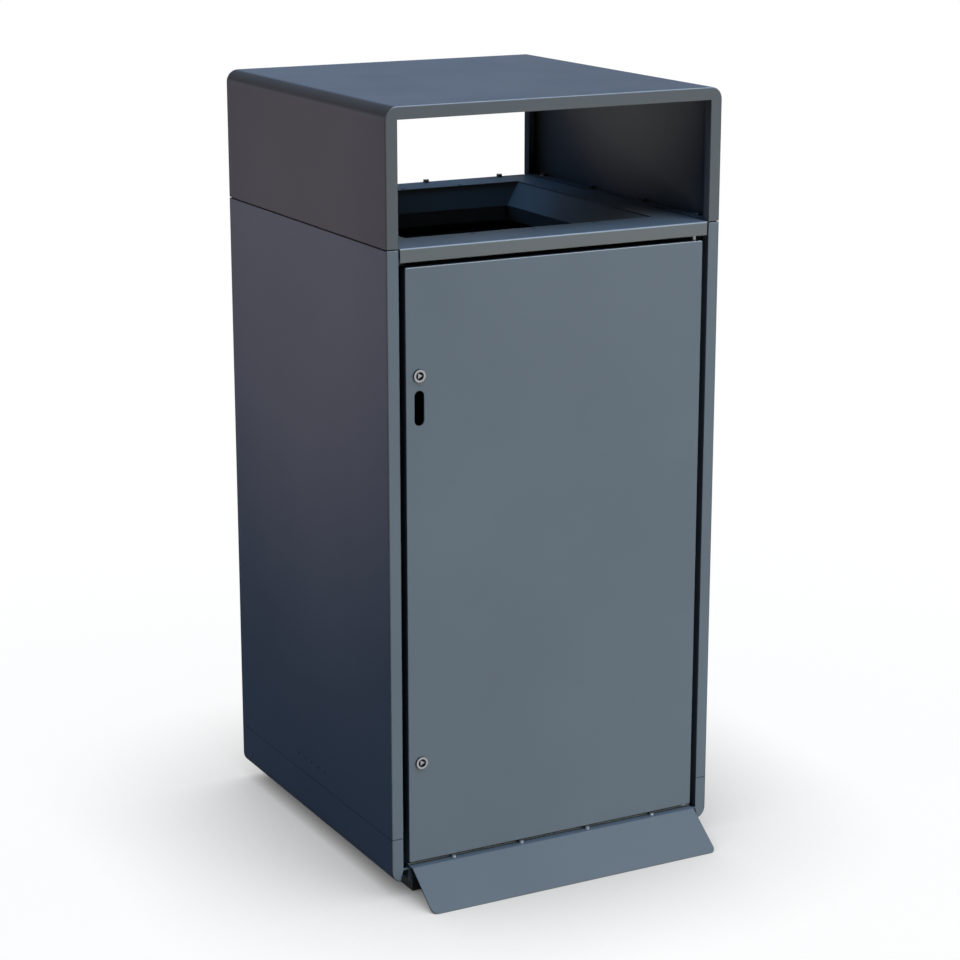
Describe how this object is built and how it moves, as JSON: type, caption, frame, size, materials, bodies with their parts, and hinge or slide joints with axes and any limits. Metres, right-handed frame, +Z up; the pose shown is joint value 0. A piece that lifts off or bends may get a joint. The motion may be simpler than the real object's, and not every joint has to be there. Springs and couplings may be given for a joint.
{
  "type": "outdoor waste bin",
  "caption": "Free-standing steel litter housing with an open hood over a funnel, a locked front door, a ramp and a wheeled inner container.",
  "frame": {"origin": "on the ground, at the centre of the four anchor holes in the plinth, under the middle of the housing", "axes": "+Z up, -Y out of the front where the door and the ramp are, +X to the hinge side of the door"},
  "size_m": [0.603, 0.7027, 1.285],
  "materials": {
    "coated_steel": "satin anthracite powder coat with a fine grain",
    "black_steel": "satin black coating",
    "zinc_plated": "zinc plated",
    "lock_metal": "satin stainless steel",
    "rubber": "matt black",
    "container_plastic": "matt moulded plastic"
  },
  "bodies": {
    "housing": {"hood": "coated_steel", "deck_plate": "coated_steel", "funnel_chute": "coated_steel", "left_side_panel": "coated_steel", "right_side_panel": "coated_steel", "rear_panel": "coated_steel", "base_tray": "coated_steel", "floor_plate": "coated_steel", "ramp_plate": "coated_steel", "plinth_frame": "black_steel", "door_stop_rail": "coated_steel", "door_buffers": "rubber", "stop_rail_rivets": "zinc_plated", "upper_hinge_bracket": "coated_steel", "upper_hinge_pin": "zinc_plated", "lower_hinge_pin": "zinc_plated", "thrust_washer": "zinc_plated", "hood_bolts": "black_steel", "hood_nuts": "zinc_plated", "deck_rear_bolts": "black_steel", "deck_rear_nuts": "zinc_plated", "funnel_rivets": "coated_steel", "tray_bolts": "zinc_plated", "tray_nuts": "zinc_plated", "plinth_bolts": "zinc_plated", "plinth_nuts": "zinc_plated", "rear_panel_screws": "zinc_plated", "ramp_screws": "zinc_plated", "container_body": "container_plastic", "container_handle": "zinc_plated", "container_axle": "zinc_plated", "container_wheel_caps": "container_plastic"},
    "door": {"door_panel": "coated_steel", "door_stiffener": "coated_steel", "upper_hinge_block": "zinc_plated", "lower_hinge_block": "zinc_plated", "upper_lock_housing": "lock_metal", "upper_lock_nut": "zinc_plated", "lower_lock_housing": "lock_metal", "lower_lock_nut": "zinc_plated"},
    "upper_lock": {"upper_lock_spindle": "lock_metal", "upper_lock_cam": "zinc_plated", "upper_lock_screw": "zinc_plated"},
    "lower_lock": {"lower_lock_spindle": "lock_metal", "lower_lock_cam": "zinc_plated", "lower_lock_screw": "zinc_plated"},
    "left_wheel": {"container_wheel_left": "rubber"},
    "right_wheel": {"container_wheel_right": "rubber"}
  },
  "joints": [
    {"name": "door_hinge", "type": "hinge", "parent": "housing", "child": "door", "pos_m": [0.2596, -0.2985, 0.5], "axis": [0, 0, 1], "range_deg": [0, 120]},
    {"name": "upper_lock_turn", "type": "hinge", "parent": "door", "child": "upper_lock", "pos_m": [-0.2467, -0.29, 0.867], "axis": [0, -1, 0], "range_deg": [0, 90]},
    {"name": "lower_lock_turn", "type": "hinge", "parent": "door", "child": "lower_lock", "pos_m": [-0.2467, -0.29, 0.2278], "axis": [0, -1, 0], "range_deg": [0, 90]},
    {"name": "left_wheel_spin", "type": "hinge", "parent": "housing", "child": "left_wheel", "pos_m": [-0.218, -0.1605, 0.1553], "axis": [1, 0, 0], "continuous": true},
    {"name": "right_wheel_spin", "type": "hinge", "parent": "housing", "child": "right_wheel", "pos_m": [0.218, -0.1605, 0.1553], "axis": [1, 0, 0], "continuous": true}
  ]
}
